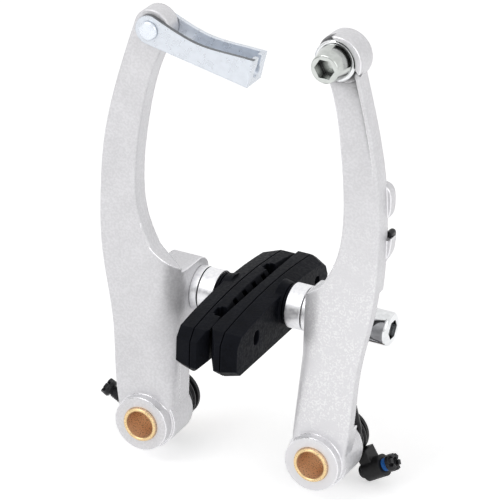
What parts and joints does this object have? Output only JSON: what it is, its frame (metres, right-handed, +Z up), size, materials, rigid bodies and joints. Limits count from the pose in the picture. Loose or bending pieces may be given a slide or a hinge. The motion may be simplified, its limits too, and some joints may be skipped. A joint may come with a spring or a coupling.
{
  "type": "v brake",
  "caption": "Bicycle rim brake: two curved forged arms on pivot bushings, each with a long curved pad on a threaded post, a return spring, and a stamped cable link at the top.",
  "frame": {"origin": "midway between the two pivot bores, in the plane of their rear ends", "axes": "+X to the right as seen from the front, +Y along the pivots towards the bicycle frame, +Z up the arms"},
  "size_m": [0.0954, 0.0611, 0.1384],
  "materials": {
    "arm_silver": "tumbled satin",
    "bushing_brass": "turned",
    "black_plastic": "matte",
    "black_steel": "satin",
    "pad_rubber": "matte moulded",
    "zinc_steel": "zinc plated",
    "satin_steel": "satin",
    "chrome": "polished"
  },
  "bodies": {
    "studs": {"left_pivot_bushing": "bushing_brass", "left_spring_carrier": "black_plastic", "right_pivot_bushing": "bushing_brass", "right_spring_carrier": "black_plastic"},
    "left_arm": {"left_arm": "arm_silver", "left_return_spring": "black_steel", "link_rivet": "zinc_steel"},
    "right_arm": {"right_arm": "arm_silver", "right_return_spring": "black_steel", "anchor_bolt": "chrome", "anchor_washer": "chrome"},
    "link": {"cable_link": "zinc_steel"},
    "left_pad_seat": {"left_inner_cup_washer": "satin_steel", "left_outer_cup_washer": "satin_steel"},
    "left_pad": {"left_brake_pad": "pad_rubber", "left_pad_post": "satin_steel", "left_inner_dome_washer": "satin_steel", "left_outer_dome_washer": "satin_steel", "left_flat_washer": "satin_steel", "left_pad_nut": "chrome"},
    "left_adjuster": {"left_adjuster_screw": "black_steel"},
    "right_pad_seat": {"right_inner_cup_washer": "satin_steel", "right_outer_cup_washer": "satin_steel"},
    "right_pad": {"right_brake_pad": "pad_rubber", "right_pad_post": "satin_steel", "right_inner_dome_washer": "satin_steel", "right_outer_dome_washer": "satin_steel", "right_flat_washer": "satin_steel", "right_pad_nut": "chrome"},
    "right_adjuster": {"right_adjuster_screw": "black_steel"}
  },
  "joints": [
    {"name": "left_arm_pivot", "type": "hinge", "parent": "studs", "child": "left_arm", "pos_m": [-0.0265, 0, 0], "axis": [0, -1, 0], "range_deg": [0, 30], "stiffness_Nm_per_rad": 0.8},
    {"name": "right_arm_pivot", "type": "hinge", "parent": "studs", "child": "right_arm", "pos_m": [0.0265, 0, 0], "axis": [0, 1, 0], "range_deg": [0, 30], "stiffness_Nm_per_rad": 0.8},
    {"name": "link_pivot", "type": "hinge", "parent": "left_arm", "child": "link", "pos_m": [-0.02276, -0.01875, 0.11844], "axis": [0, -1, 0], "range_deg": [-30, 75]},
    {"name": "left_pad_height", "type": "slide", "parent": "left_arm", "child": "left_pad_seat", "axis": [0.0366, 0, 0.9993], "range_m": [-0.003, 0.003]},
    {"name": "left_pad_turn", "type": "hinge", "parent": "left_pad_seat", "child": "left_pad", "pos_m": [-0.01693, -0.0063, 0.03707], "axis": [0.9993, 0, -0.0366], "range_deg": [-12, 12]},
    {"name": "left_adjuster_turn", "type": "hinge", "parent": "studs", "child": "left_adjuster", "pos_m": [-0.0326, -0.0046, -0.01057], "axis": [-0.866, 0, 0.5], "continuous": true},
    {"name": "right_pad_height", "type": "slide", "parent": "right_arm", "child": "right_pad_seat", "axis": [0.0366, 0, 0.9993], "range_m": [-0.003, 0.003]},
    {"name": "right_pad_turn", "type": "hinge", "parent": "right_pad_seat", "child": "right_pad", "pos_m": [0.01968, -0.0063, 0.03768], "axis": [0.9993, 0, -0.0366], "range_deg": [-12, 12]},
    {"name": "right_adjuster_turn", "type": "hinge", "parent": "studs", "child": "right_adjuster", "pos_m": [0.0326, -0.0046, -0.01057], "axis": [0.866, 0, 0.5], "continuous": true}
  ]
}
